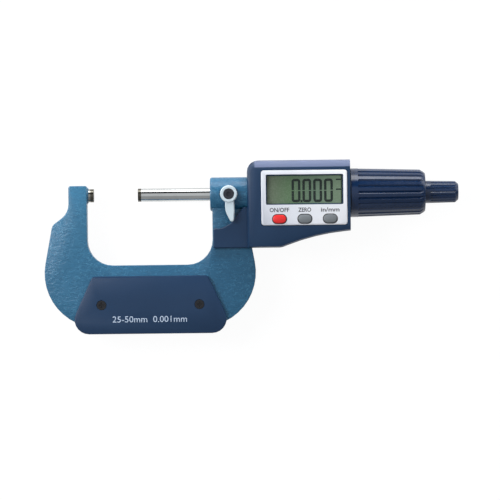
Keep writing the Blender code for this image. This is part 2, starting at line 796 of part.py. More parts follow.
def wave_spring():
    """A flat ring bent into three waves, behind the encoder's hub."""
    inner = SPINDLE_R + 4 * RUN
    middle = HUB_END + SEAT + WAVE_SPRING_H / 2
    swing = (WAVE_SPRING_H - WAVE_SPRING_T) / 2
    rings = []
    for step in range(30):
        angle = 2 * math.pi * step / 30
        along = middle + swing * math.cos(3 * angle)
        ring = []
        for radius, side in ((inner, -1), (HUB_R, -1), (HUB_R, 1), (inner, 1)):
            ring.append(about_axis(along + side * WAVE_SPRING_T / 2, radius, angle))
        rings.append(ring)
    return loft(rings)


def make_encoder():
    """Mounting flange, fixed disc, turning disc with its key, and the spring behind it."""
    flange = ring_profile(BOSS_END + PRESS, FLANGE_END, around(SPIGOT_R, PRESS, 24), CUP_R)
    piece("mounting_flange", turned(flange, 24), "dull_steel")
    stator = ring_profile(FLANGE_END + PRESS, STATOR_END, around(SPIGOT_R, RUN, 24), ROTOR_R)
    piece("encoder_stator", turned(stator, 24), "green_board")

    bore = around(SPINDLE_R, RUN, 24)
    disc_end = ROTOR_START + DISC_T
    rotor_profile = [(ROTOR_START, bore), (ROTOR_START, ROTOR_R), (disc_end, ROTOR_R), (disc_end, HUB_R),
                     (HUB_END, HUB_R), (HUB_END, bore)]
    rotor = piece("encoder_rotor", turned(rotor_profile, 24), "green_board")
    key_top = SPINDLE_R + KEYWAY_DEPTH
    half = KEYWAY_W / 2
    cut(rotor, "rotor_keyway", box((ROTOR_START - 1, -half, 1), (HUB_END + 1, half, key_top + PRESS)))
    key_low = SPINDLE_R - KEYWAY_DEPTH + PRESS
    half_key = half - PRESS
    key = box((ROTOR_START, -half_key, key_low), (HUB_END, half_key, key_top))
    piece("rotor_key", key, "dull_steel")
    piece("wave_spring", wave_spring(), "dull_steel")


def make_barrel():
    """A cup over the encoder, a tube, and a split end whose nut takes up the thread's play."""
    cup_inner = CUP_R - CUP_WALL
    cup_start = FLANGE_END + PRESS
    thread_bore = around(THREAD_R, RUN, 24)
    thread_start = BARREL_END - NUT_L
    step_x = BARREL_END - ADJUSTING_NUT_L - 2
    profile = [
        (cup_start, cup_inner),
        (cup_start, CUP_R),
        (WEB_END, CUP_R),
        (WEB_END, BARREL_R),
        (step_x, BARREL_R),
        (step_x, NUT_ZONE_R),
        (BARREL_END, NUT_ZONE_R),
        (BARREL_END, thread_bore),
        (thread_start, thread_bore),
        (thread_start, BARREL_BORE_R),
        (WEB_START, BARREL_BORE_R),
        (WEB_START, cup_inner),
    ]
    barrel = piece("barrel", turned(profile, 24), "ground_steel")
    for index in range(3):
        slot = box((BARREL_END - SPLIT_L, -SPLIT_W / 2, 1), (BARREL_END + 1, SPLIT_W / 2, BARREL_R + 1))
        turn = Matrix.Rotation(2 * math.pi * index / 3, 3, "X")
        bmesh.ops.rotate(slot, verts=slot.verts, cent=(0, 0, 0), matrix=turn)
        cut(barrel, f"split_{index + 1}", slot)
    nut_end = BARREL_END - 0.5
    nut_start = nut_end - ADJUSTING_NUT_L
    nut_r = NUT_ZONE_R + ADJUSTING_NUT_WALL
    nut = turned(ring_profile(nut_start, nut_end, around(NUT_ZONE_R, PRESS, 24), nut_r), 24)
    adjusting_nut = piece("adjusting_nut", nut, "ground_steel")
    spanner_hole = rod(NUT_ZONE_R, nut_r + 1, SPANNER_HOLE_R, 12, "Z")
    cut(adjusting_nut, "spanner_hole", spanner_hole, ((nut_start + nut_end) / 2, 0, 0))


# Spindle and thimble

def make_spindle():
    """Spindle with its keyway, thread and taper, and its hard tip."""
    tip_end = ZERO_GAP + CARBIDE_L
    thread_start = BARREL_END - NUT_L - TRAVEL - 1
    relief_r = SPINDLE_R - 0.35
    profile = [
        (tip_end + PRESS, 0),
        (tip_end + PRESS, SPINDLE_R),
        (thread_start - 1.5, SPINDLE_R),
        (thread_start - 1.5, relief_r),
        (thread_start - 0.4, relief_r),
        (thread_start, THREAD_R),
        (CORE_WALL_START, THREAD_R),
        (CORE_END, TAPER_SMALL_R),
        (CORE_END, 0),
    ]
    spindle = piece("spindle", turned(profile, 24), "ground_steel")
    slot_start = ROTOR_START - TRAVEL - 1
    half = KEYWAY_W / 2
    slot = box((slot_start, -half, SPINDLE_R - KEYWAY_DEPTH), (HUB_END + 1, half, SPINDLE_R + 1))
    cut(spindle, "spindle_keyway", slot)
    tapped = rod(SCREW_TIP_START - 1, CORE_END + 1, around(SCREW_TIP_R, PRESS, 16), 16)
    cut(spindle, "spindle_thread_hole", tapped)
    tip = [(ZERO_GAP, 0), (ZERO_GAP, SPINDLE_R - 0.15), (ZERO_GAP + 0.15, SPINDLE_R), (tip_end, SPINDLE_R),
           (tip_end, 0)]
    piece("spindle_tip", turned(tip, 24), "carbide")


def fluted_ring(x, radius, depth, flutes):
    """One ring of points about the axis: broad ridges with narrow grooves between them."""
    ring = []
    for flute in range(flutes):
        for share, drop in ((0.0, depth), (0.24, 0.0), (0.76, 0.0)):
            ring.append(about_axis(x, radius - drop, 2 * math.pi * (flute + share) / flutes))
    return ring


def make_thimble():
    """Metal core on the spindle's taper, and the fluted grip over it."""
    core_start = THIMBLE_START + CORE_INSET
    core = [
        (core_start, CORE_BORE_R),
        (core_start, CORE_R),
        (CORE_END, CORE_R),
        (CORE_END, around(TAPER_SMALL_R, PRESS, 24)),
        (CORE_WALL_START, around(THREAD_R, PRESS, 24)),
        (CORE_WALL_START, CORE_BORE_R),
    ]
    piece("thimble_core", turned(core, 24), "dull_steel")

    bore = around(CORE_R, PRESS, 24)
    bore_end = CORE_END + PRESS
    collar_end = THIMBLE_START + COLLAR_L
    shoulder_start = THIMBLE_END - SHOULDER_L
    ridge_end = shoulder_start - END_CHAMFER_L
    stations = [
        (THIMBLE_START, THIMBLE_R, 0),
        (collar_end - 0.3, THIMBLE_R, 0),
        (collar_end, THIMBLE_R - 0.12, FLUTE_DEPTH),
        (ridge_end, THIMBLE_END_R, FLUTE_DEPTH),
        (shoulder_start, SHOULDER_R, 0),
        (THIMBLE_END, SHOULDER_R - 0.7, 0),
    ]
    rings = [fluted_ring(x, radius, depth, FLUTES) for x, radius, depth in stations]
    grip = piece("thimble_grip", loft(rings, tube=False), "navy_grip")
    hollow = [(THIMBLE_START - 1, 0), (THIMBLE_START - 1, bore), (bore_end, bore), (bore_end, KNOB_BORE_R),
              (THIMBLE_END + 1, KNOB_BORE_R), (THIMBLE_END + 1, 0)]
    cut(grip, "grip_bore", turned(hollow, 24))


# Ratchet stop

def toothed_disc(face, back, inner, outer, shift=0.0, hexagon=False):
    """A ring whose face carries slanted teeth. The back may lie on either side of the face."""
    shape = bmesh.new()
    loops = []
    for tooth in range(TEETH):
        angle = 2 * math.pi * tooth / TEETH + shift
        to_corner = (angle + math.pi / 6) % (math.pi / 3) - math.pi / 6
        rim = outer * math.cos(math.pi / 6) / math.cos(math.pi / 6 - abs(to_corner)) if hexagon else outer
        levels = []
        for x in (back, face, face + TOOTH_H):
            levels.append([shape.verts.new(about_axis(x, radius, angle) * MM) for radius in (inner, rim)])
        loops.append(levels)
    for tooth, (back_a, low_a, high_a) in enumerate(loops):
        back_b, low_b, high_b = loops[(tooth + 1) % TEETH]
        wall = [back_a, back_b, low_b, high_b, low_a]
        if back > face:
            wall = [back_a, back_b, high_b, low_a, high_a]
        for side in (0, 1):
            shape.faces.new([level[side] for level in wall])
        for start, end in ((back_a, back_b), (low_a, high_b), (low_b, high_b)):
            shape.faces.new((start[0], end[0], end[1], start[1]))
    bmesh.ops.recalc_face_normals(shape, faces=shape.faces)
    return shape


def coil(start, end, radius, wire, turns):
    """A compression spring of round wire about the axis."""
    steps = turns * 9
    sides = 5
    low = start + wire
    rise = (end - start - 2 * wire) / steps
    rings = []
    for step in range(steps + 1):
        ring = []
        for side in range(sides):
            way = 2 * math.pi * side / sides
            along = low + rise * step + wire * math.sin(way)
            ring.append(about_axis(along, radius + wire * math.cos(way), 2 * math.pi * step / 9))
        rings.append(ring)
    return loft(rings, tube=False)


def make_ratchet_inside():
    """Toothed base on the spindle, the pawl pressed against it, its spring, and the long screw."""
    base_profile = ring_profile(BASE_START, BASE_END, around(SCREW_TIP_R, PRESS, 24), BASE_R)
    base = piece("ratchet_base", turned(base_profile, 24), "dull_steel")
    backlash = -math.radians(TOOTH_BACKLASH_DEG)
    teeth = toothed_disc(BASE_END + PRESS, BASE_END - 1, SHANK_R + 0.8, BASE_R - 0.5, backlash)
    join(base, "base_teeth", teeth)
    pawl_bore = around(SHANK_R, RUN, TEETH)
    piece("ratchet_pawl", toothed_disc(PAWL_FACE, PAWL_END, pawl_bore, DRIVE_R, hexagon=True), "dull_steel")
    spring = coil(PAWL_END + PRESS, KNOB_WEB_START - PRESS, RATCHET_SPRING_R, RATCHET_WIRE_R, RATCHET_TURNS)
    piece("ratchet_spring", spring, "ground_steel")
    shoulder = BASE_END + PRESS
    head = KNOB_WEB_END + PRESS
    head_end = head + SCREW_HEAD_T
    screw_profile = [
        (SCREW_TIP_START, 0),
        (SCREW_TIP_START, SCREW_TIP_R * 0.7),
        (SCREW_TIP_START + 0.5, SCREW_TIP_R),
        (shoulder, SCREW_TIP_R),
        (shoulder, SHANK_R),
        (head, SHANK_R),
        (head, SCREW_HEAD_R),
        (head_end - 0.3, SCREW_HEAD_R),
        (head_end, SCREW_HEAD_R - 0.3),
        (head_end, 0),
    ]
    screw = piece("ratchet_screw", turned(screw_profile, 16), "black_screw")
    slot = box((head_end - 0.9, -KNOB_R, -0.4), (head_end + 1, KNOB_R, 0.4))
    cut(screw, "ratchet_screw_slot", slot)


def make_knob():
    """The knurled knob that turns the thimble through the ratchet."""
    smooth_end = THIMBLE_END + KNOB_SMOOTH_L
    chamfer_start = KNOB_END - KNOB_CHAMFER
    end_r = KNOB_R - KNOB_TAPER
    stations = [
        (KNOB_START, KNOB_R, 0),
        (smooth_end, KNOB_R, 0),
        (smooth_end + 0.3, KNOB_R - 0.05, KNOB_FLUTE_DEPTH),
        (chamfer_start, end_r, KNOB_FLUTE_DEPTH),
        (chamfer_start + 0.3, end_r - 0.2, 0),
        (KNOB_END, end_r - 1.5, 0),
    ]
    rings = [fluted_ring(x, radius, depth, KNOB_FLUTES) for x, radius, depth in stations]
    knob = piece("ratchet_knob", loft(rings, tube=False), "navy_grip")
    cut(knob, "knob_bore", rod(KNOB_START - 1, KNOB_END + 1, around(SHANK_R, RUN, 16), 16))
    pawl_flat = DRIVE_R * math.cos(math.pi / 6)
    cut(knob, "knob_drive", rod(KNOB_START - 1, KNOB_WEB_START, around(pawl_flat, RUN, 6), 6))
    cut(knob, "knob_counterbore", rod(KNOB_WEB_END, KNOB_END + 1, around(SCREW_HEAD_R, RUN, 24), 24))


# Housing

def housing_corners():
    """Outline of the housing: a round shoulder, a flat belly and a foot that curves up to the right."""
    return [
        (HOUSING_START, HOUSING_TOP, HOUSING_CORNER_R),
        (HOUSING_START, HOUSING_FOOT, 0),
        (HOUSING_START + BELLY_L, HOUSING_FOOT, 2 * HOUSING_EDGE),
        (HOUSING_START + BELLY_BEND_X, HOUSING_TAIL - BELLY_BEND_Y, BELLY_BEND_R),
        (HOUSING_END, HOUSING_TAIL, 0),
        (HOUSING_END, HOUSING_TOP, 0),
    ]


def wing_corners():
    """Outline of the wing that lies on the frame's arm, under the boss."""
    left = THROAT_END + 0.5
    right = HOUSING_START + WALL / 2
    return [
        (left, WING_TOP_Y, 2 * WING_EDGE),
        (left, HOUSING_FOOT + PRESS, 0),
        (right, HOUSING_FOOT + PRESS, 0),
        (right, 2.0 - BOSS_R, 0),
        (right - WING_CREST, 2.0 - BOSS_R, 0),
        (right - WING_BEND_X, WING_TOP_Y + WING_BEND_RISE, 5.0),
        (left + WING_HEEL, WING_TOP_Y, 5.0),
    ]


def post_places():
    """Centres of the four screw posts, each in a corner of the housing."""
    inset = WALL + POST_R - POST_BITE
    low_y = HOUSING_FOOT + inset
    return [
        (HOUSING_START + inset, HOUSING_TOP - inset, 0),
        (HOUSING_END - inset, HOUSING_TOP - inset, 0),
        (arm_edge(low_y) + 2 * SEAT + POST_R, low_y, 0),
        (HOUSING_END - inset - 1.3, HOUSING_TAIL + 2.8, 0),
    ]


def make_shell(side, turn):
    """Half of the moulded housing: outer form, wing, hollow, posts, and room for arm, boss and barrel."""
    name = "housing_" + side
    body = prism(rounded(housing_corners()), SEAT / 2, CASE_Z)
    face_edges = []
    for edge in body.edges:
        on_face = all(vert.co.z > (CASE_Z - 0.1) * MM for vert in edge.verts)
        on_end = all(vert.co.x > (HOUSING_END - 0.1) * MM for vert in edge.verts)
        if on_face and not on_end:
            face_edges.append(edge)
    bmesh.ops.bevel(body, geom=face_edges, offset=HOUSING_EDGE * MM, segments=2, affect="EDGES", profile=0.5)
    shell = piece(name, turn(body), "navy_plastic")
    hollow = prism(rounded(grown(housing_corners(), -WALL)), -1, INNER_Z)
    cut(shell, side + "_hollow", turn(hollow))
    post = rod(SEAT / 2 + PRESS, INNER_Z + POST_BITE, POST_R, 12, "Z")
    join(shell, side + "_posts", turn(placed(post, post_places())))
    slot = prism(frame_with_gap(), -1, FRAME_T / 2 + SEAT - 0.05)
    cut(shell, side + "_arm_slot", turn(slot))
    wing = prism(rounded(wing_corners()), PLATE_Z, PLATE_Z + WING_T)
    rim = [edge for edge in wing.edges if all(vert.co.z > (PLATE_Z + 1) * MM for vert in edge.verts)]
    bmesh.ops.bevel(wing, geom=rim, offset=WING_EDGE * MM, segments=1, affect="EDGES")
    join(shell, side + "_wing", turn(wing))
    boss_hole = rod(THROAT_END, HOUSING_START + WALL + 1, around(BOSS_R, SEAT, 32), 32)
    cut(shell, side + "_boss_hole", boss_hole)
    barrel_hole = rod(HOUSING_END - WALL - 1, HOUSING_END + 1, around(BARREL_R, SEAT, 24), 24)
    cut(shell, side + "_barrel_hole", barrel_hole)
    return shell


def button_places():
    middle = (BUTTON_FIRST + BUTTON_LAST) / 2
    return [(x, BUTTON_Y, 0) for x in (BUTTON_FIRST, middle, BUTTON_LAST)]


def window_corners(grow=0.0):
    return grown(rectangle(WINDOW_LEFT, WINDOW_FOOT, WINDOW_RIGHT, WINDOW_TOP, WINDOW_R), grow)


def panel_corners(grow=0.0):
    return grown(rectangle(PANEL_LEFT, PANEL_FOOT, PANEL_RIGHT, PANEL_TOP, PANEL_R), grow)


def button_holes(low, high):
    """Cutters for the three buttons' holes."""
    return placed(prism(stadium(BUTTON_W, BUTTON_H, RUN), low, high), button_places())


def make_housing():
    front = make_shell("front", lambda shape: shape)
    cut(front, "panel_recess", prism(rounded(panel_corners(RUN)), RECESS_Z, CASE_Z + 1))
    cut(front, "window_opening", prism(rounded(window_corners(-WINDOW_LEDGE)), INNER_Z - 1, CASE_Z))
    cut(front, "front_button_holes", button_holes(INNER_Z - 1, CASE_Z))
    screw_end = CASE_SCREW_L - CASE_Z + PRESS
    screw_hole_r = around(CASE_SCREW_R, PRESS, 12)
    cut(front, "post_threads", placed(rod(-1, screw_end + 1, screw_hole_r, 12, "Z"), post_places()))

    back = make_shell("back", flipped)
    head_r = around(CASE_SCREW_HEAD_R, PRESS, 12)
    hole = countersink(CASE_Z, head_r, around(CASE_SCREW_R, PRESS, 12), CASE_Z + 1)
    cut(back, "case_screw_holes", flipped(placed(hole, post_places())))
    well_r = around(CAP_R, RUN, 24)
    well = ring_profile(-INNER_Z - 0.2, BATTERY_TOP_Z - 0.8, well_r, well_r + WELL_WALL)
    join(back, "battery_well", turned(well, 24, "Z"), BATTERY_AT)
    cut(back, "battery_hole", rod(-CASE_Z - 1, -INNER_Z + 1, well_r, 24, "Z"), BATTERY_AT)

    corners = ("top_left", "top_right", "foot_left", "foot_right")
    for corner, place in zip(corners, post_places()):
        screw = countersunk_screw(CASE_Z - PRESS, CASE_SCREW_HEAD_R, CASE_SCREW_R, CASE_SCREW_L)
        make_screw("housing_screw_" + corner, screw, CASE_Z - PRESS, CASE_SCREW_HEAD_R, place, flipped)


# Display and buttons

def make_display():
    """Silver panel, window, display glass in its holder, contact strips and circuit board."""
    panel = piece("display_panel", prism(rounded(panel_corners()), PANEL_Z, PANEL_TOP_Z), "silver_panel")
    soften(panel, PANEL_EDGE, angle=60)
    cut(panel, "panel_window", prism(rounded(window_corners()), PANEL_Z - 1, PANEL_TOP_Z + 1))
    cut(panel, "panel_button_holes", button_holes(PANEL_Z - 1, PANEL_TOP_Z + 1))
    window = prism(rounded(window_corners(-RUN)), PANEL_Z, PANEL_Z + WINDOW_T)
    piece("display_window", window, "clear_plastic")

    glass_top = GLASS_Z + GLASS_T
    glass_corners = window_corners(GLASS_LAP)
    piece("lcd_glass", prism(rounded(glass_corners), GLASS_Z, glass_top), "display_glass")
    holder_outline = rounded(grown(glass_corners, PRESS + HOLDER_WALL))
    holder = piece("lcd_holder", prism(holder_outline, GLASS_Z - 0.05, INNER_Z - SEAT), "black_plastic")
    cut(holder, "holder_opening", prism(rounded(grown(glass_corners, PRESS)), GLASS_Z - 1, INNER_Z))
    for edge, y in (("top", WINDOW_TOP - STRIP_W), ("foot", WINDOW_FOOT + STRIP_W)):
        strip = box((WEB_END + 2 * SEAT, y - STRIP_W / 2, BOARD_TOP_Z + PRESS),
                    (WINDOW_RIGHT - 1, y + STRIP_W / 2, GLASS_Z - PRESS))
        piece("contact_strip_" + edge, strip, "grey_rubber")

    left = WEB_END + SEAT
    right = WINDOW_RIGHT + GLASS_LAP
    key_right = BUTTON_LAST + KEYPAD_RIM + 0.6
    key_foot = BUTTON_Y - KEYPAD_RIM - 0.6
    board = [
        (left, WINDOW_TOP + GLASS_LAP, 0.8),
        (left, key_foot - 2.4, 0.8),
        ((left + right) / 2 + 7, key_foot - 2.4, 2.0),
        (key_right, key_foot, 0.8),
        (key_right, BUTTON_Y + 0.4, 0.8),
        (right, BUTTON_Y + 1.8, 0.8),
        (right, WINDOW_TOP + GLASS_LAP, 0.8),
    ]
    piece("circuit_board", prism(rounded(board), BOARD_Z, BOARD_TOP_Z), "green_board")


def make_keys():
    """Three buttons that stand through the panel, and the rubber keypad under them."""
    first, middle, last = button_places()
    pad_low = BUTTON_Y - KEYPAD_RIM
    pad_high = BUTTON_Y + KEYPAD_RIM
    outline = rectangle(first[0] - KEYPAD_RIM, pad_low, last[0] + KEYPAD_RIM, pad_high, 1.0)
    pad_top = KEYPAD_Z + KEYPAD_T
    keypad = piece("keypad", prism(rounded(outline), KEYPAD_Z, pad_top), "grey_rubber")
    dome = [(pad_top - 0.2, 0), (pad_top - 0.2, DOME_R), (DOME_TOP_Z, DOME_TOP_R), (DOME_TOP_Z, 0)]
    join(keypad, "domes", placed(turned(dome, 12, "Z"), (first, middle, last)))

    low = DOME_TOP_Z + SEAT
    flange_top = low + BUTTON_FLANGE_T
    top = PANEL_TOP_Z + BUTTON_PROUD
    keys = (("button_on_off", "red_button", first), ("button_zero", "grey_button", middle),
            ("button_units", "grey_button", last))
    levels = [
        (low, BUTTON_FLANGE),
        (flange_top, BUTTON_FLANGE),
        (flange_top, 0),
        (top - BUTTON_EDGE, 0),
        (top - BUTTON_EDGE * 0.3, -BUTTON_EDGE * 0.3),
        (top, -BUTTON_EDGE),
    ]
    for name, finish, place in keys:
        rings = [[(*point, height) for point in stadium(BUTTON_W, BUTTON_H, grow)] for height, grow in levels]
        piece(name, loft(rings, tube=False), finish, place)


# Battery

def make_battery():
    """Button cell, its two contacts, and the coin-slotted cap with its seal."""
    piece("battery", rod(BATTERY_Z, BATTERY_TOP_Z, BATTERY_R, 24, "Z"), "ground_steel", BATTERY_AT)
    x, y, _ = BATTERY_AT
    board_gap_z = BOARD_Z - SEAT
    half = CONTACT_W / 2
    side_x = x + BATTERY_R + SEAT
    side = box((side_x, y - half, BATTERY_Z + 0.2), (side_x + CONTACT_T, y + half, board_gap_z))
    piece("battery_contact_side", side, "brass")
    plate_z = BATTERY_TOP_Z + SEAT
    leg_x = x + BATTERY_R * 0.6
    arm = box((x - 2, y - half, plate_z), (leg_x, y + half, plate_z + CONTACT_T))
    top_contact = piece("battery_contact_top", arm, "brass")
    leg = box((leg_x - CONTACT_T, y - half, plate_z + CONTACT_T / 2), (leg_x, y + half, board_gap_z))
    join(top_contact, "contact_leg", leg)

    outer = -CASE_Z + PRESS
    neck = outer + CAP_T
    cap_profile = [(outer, 0), (outer, CAP_R - 0.2), (outer + 0.2, CAP_R), (neck, CAP_R), (neck, CAP_NECK_R),
                   (-INNER_Z, CAP_NECK_R), (-INNER_Z, 0)]
    cap = piece("battery_cap", turned(cap_profile, 24, "Z"), "navy_plastic", BATTERY_AT)
    half_l = COIN_SLOT_L / 2
    half_w = COIN_SLOT_W / 2
    slot = box((-half_l, -half_w, outer - 1), (half_l, half_w, outer + COIN_SLOT_DEPTH))
    cut(cap, "coin_slot", slot, BATTERY_AT)
    seal_r = CAP_NECK_R + PRESS + SEAL_R
    seal_z = neck + PRESS + SEAL_R
    seal_profile = []
    for step in range(6):
        angle = 2 * math.pi * step / 6
        seal_profile.append((seal_z + SEAL_R * math.cos(angle), seal_r + SEAL_R * math.sin(angle)))
    piece("battery_seal", turned(seal_profile, 18, "Z"), "black_rubber", BATTERY_AT)


def clear_scene():
    for item in list(bpy.data.objects):
        bpy.data.objects.remove(item, do_unlink=True)


clear_scene()
make_frame()
make_anvil()
make_cover_plate("front", lambda shape: shape)
make_cover_plate("back", flipped)
make_lock()
make_encoder()
make_barrel()
make_spindle()
make_thimble()
make_ratchet_inside()
make_knob()
make_housing()
make_display()
make_keys()
make_battery()
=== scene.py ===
"""Looks for the digital outside micrometer.

Everything is in metres, in the frame of the CAD part: +X along the spindle towards
the thimble, +Y up across the frame, +Z out of the display.
"""

import math

import bpy
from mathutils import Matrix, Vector


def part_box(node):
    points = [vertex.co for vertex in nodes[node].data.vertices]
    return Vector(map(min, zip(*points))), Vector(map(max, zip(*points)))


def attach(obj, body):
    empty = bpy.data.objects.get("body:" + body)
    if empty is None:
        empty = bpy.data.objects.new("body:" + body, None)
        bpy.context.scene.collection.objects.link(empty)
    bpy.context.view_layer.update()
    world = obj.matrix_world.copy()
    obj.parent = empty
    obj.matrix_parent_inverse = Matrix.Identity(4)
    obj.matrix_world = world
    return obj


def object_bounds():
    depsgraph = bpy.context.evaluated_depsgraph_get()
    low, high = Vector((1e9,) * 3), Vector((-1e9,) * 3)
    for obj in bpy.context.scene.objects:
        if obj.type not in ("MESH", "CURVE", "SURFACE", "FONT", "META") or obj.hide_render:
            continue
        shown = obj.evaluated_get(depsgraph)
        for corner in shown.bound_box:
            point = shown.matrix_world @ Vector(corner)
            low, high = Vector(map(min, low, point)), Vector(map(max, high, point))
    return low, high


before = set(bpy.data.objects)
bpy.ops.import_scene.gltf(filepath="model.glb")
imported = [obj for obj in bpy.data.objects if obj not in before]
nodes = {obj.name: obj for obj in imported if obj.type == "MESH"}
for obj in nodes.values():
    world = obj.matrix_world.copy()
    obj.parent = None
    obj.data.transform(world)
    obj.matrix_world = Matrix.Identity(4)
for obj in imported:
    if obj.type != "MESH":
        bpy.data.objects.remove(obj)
cad_box = [list(corner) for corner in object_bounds()]

MM = 0.001


# Colours and nodes

def srgb(red, green, blue):
    """An 8-bit sRGB colour as linear values with alpha."""
    values = []
    for part in (red, green, blue):
        share = part / 255
        values.append(share / 12.92 if share <= 0.04045 else ((share + 0.055) / 1.055) ** 2.4)
    return (*values, 1.0)


class Tree:
    """Short ways to add and link nodes in a material, a group or the world."""

    def __init__(self, tree):
        self.tree = tree

    def add(self, kind, **inputs):
        """A new node with some of its inputs set, a blank in a socket's name written as an underscore."""
        node = self.tree.nodes.new("ShaderNode" + kind)
        for label, value in inputs.items():
            self.set(node, label.replace("_", " "), value)
        return node

    def set(self, node, label, value):
        """Link or set an input, found by its name or by its number."""
        socket = node.inputs[int(label)] if label.isdigit() else node.inputs[label]
        if isinstance(value, bpy.types.NodeSocket):
            self.tree.links.new(value, socket)
        else:
            socket.default_value = value

    def math(self, operation, first, second=0.0):
        node = self.tree.nodes.new("ShaderNodeMath")
        node.operation = operation
        self.set(node, "0", first)
        self.set(node, "1", second)
        return node.outputs[0]

    def times(self, first, second):
        return self.math("MULTIPLY", first, second)

    def plus(self, first, second):
        return self.math("ADD", first, second)

    def blend(self, share, first, second, kind="MIX"):
        """One colour laid over another by a share."""
        node = self.tree.nodes.new("ShaderNodeMix")
        node.data_type = "RGBA"
        node.blend_type = kind
        self.set(node, "0", share)
        self.set(node, "6", first)
        self.set(node, "7", second)
        return node.outputs[2]

    def band(self, value, low, high, out_low=0.0, out_high=1.0):
        """A value between two limits, mapped to two other limits and held there."""
        node = self.tree.nodes.new("ShaderNodeMapRange")
        self.set(node, "0", value)
        for place, number in enumerate((low, high, out_low, out_high), start=1):
            self.set(node, str(place), number)
        return node.outputs[0]

    def beyond(self, value, limit, soft):
        """0 before a limit and 1 beyond it, with a soft step between."""
        return self.band(value, limit - soft, limit + soft)

    def near(self, value, centre, reach):
        """1 where a value equals the centre, falling to 0 a reach away from it."""
        return self.band(self.math("ABSOLUTE", self.math("SUBTRACT", value, centre)), 0.0, reach, 1.0, 0.0)

    def place(self, scale=(1, 1, 1)):
        """Object coordinates, stretched."""
        coordinates = self.tree.nodes.new("ShaderNodeTexCoord")
        mapping = self.tree.nodes.new("ShaderNodeMapping")
        mapping.inputs["Scale"].default_value = scale
        self.tree.links.new(coordinates.outputs["Object"], mapping.inputs["Vector"])
        return mapping.outputs[0]

    def axes(self):
        """The object coordinates one by one."""
        parts = self.add("SeparateXYZ")
        self.set(parts, "Vector", self.place())
        return parts.outputs

    def noise(self, scale, detail=4.0, roughness=0.5, vector=None, distortion=0.0):
        node = self.add("TexNoise", Scale=scale, Detail=detail, Roughness=roughness, Distortion=distortion)
        self.set(node, "Vector", vector or self.place())
        return node.outputs[0]

    def ramp(self, value, *stops):
        """A colour ramp through stops of place and colour."""
        node = self.tree.nodes.new("ShaderNodeValToRGB")
        points = node.color_ramp.elements
        while len(points) < len(stops):
            points.new(0.5)
        for point, (place, colour) in zip(points, stops):
            point.position = place
            point.color = colour
        self.set(node, "0", value)
        return node.outputs[0]


# Finishes that several materials share

BLACK = (0, 0, 0, 1)
WHITE = (1, 1, 1, 1)
FINISH_OUTPUTS = (("Color", "Color"), ("Roughness", "Float"), ("Height", "Float"))


def new_group(name, inputs):
    """An empty finish group with named inputs, and outputs for colour, roughness and height."""
    tree = bpy.data.node_groups.new(name, "ShaderNodeTree")
    for label, kind, value in inputs:
        socket = tree.interface.new_socket(name=label, in_out="INPUT", socket_type="NodeSocket" + kind)
        socket.default_value = value
    for label, kind in FINISH_OUTPUTS:
        tree.interface.new_socket(name=label, in_out="OUTPUT", socket_type="NodeSocket" + kind)
    source = tree.nodes.new("NodeGroupInput")
    sink = tree.nodes.new("NodeGroupOutput")
    return Tree(tree), source.outputs, sink


def hammered_group():
    """Hammer-finish paint: winding ridges with a painted highlight along one flank and painted shade along
    the other, over a mottled tone.
    """
    maker, given, sink = new_group("hammered_paint", [
        ("Ridge Scale", "Float", 300.0), ("Base", "Color", BLACK), ("Pale", "Color", WHITE),
        ("Dark", "Color", BLACK)])
    field = maker.noise(given["Ridge Scale"], 2.0, 0.55, maker.place((0.55, 1, 1)), 0.6)
    strength = maker.times(maker.band(maker.noise(95.0, 3.0), 0.36, 0.62, 0.25, 1.0), 0.4)
    # the pale and dark bands on the ridges' flanks are painted highlight and painted shade
    pale = maker.near(field, 0.53, 0.035)
    dark = maker.near(field, 0.46, 0.04)
    mottle = maker.band(maker.noise(38.0, 4.0), 0.3, 0.7, 0.0, 0.3)
    toned = maker.blend(mottle, given["Base"], given["Dark"])
    toned = maker.blend(maker.times(dark, strength), toned, given["Dark"])
    maker.set(sink, "Color", maker.blend(maker.times(pale, strength), toned, given["Pale"]))
    maker.set(sink, "Roughness", maker.band(pale, 0.0, 1.0, 0.36, 0.28))
    maker.set(sink, "Height", maker.band(field, 0.42, 0.58))
    return maker.tree


def moulded_group():
    """Spark-eroded plastic: a fine even grain, faint flow clouds and rubbed patches."""
    maker, given, sink = new_group("moulded_grain", [
        ("Base", "Color", BLACK), ("Light", "Color", WHITE), ("Grain", "Float", 5200.0),
        ("Gloss", "Float", 0.45)])
    grain = maker.noise(given["Grain"], 2.0, 0.6)
    clouds = maker.band(maker.noise(26.0, 3.0), 0.35, 0.7)
    speckle = maker.band(maker.noise(1900.0, 1.0), 0.62, 0.72)
    share = maker.plus(maker.times(clouds, 0.16), maker.times(speckle, 0.12))
    maker.set(sink, "Color", maker.blend(share, given["Base"], given["Light"]))
    wear_and_painted_highlight = maker.band(maker.noise(60.0, 5.0, 0.65), 0.45, 0.75, 0.0, 0.12)
    rough = maker.math("SUBTRACT", given["Gloss"], wear_and_painted_highlight)
    maker.set(sink, "Roughness", maker.plus(rough, maker.band(grain, 0.3, 0.7, -0.04, 0.05)))
    maker.set(sink, "Height", grain)
    return maker.tree


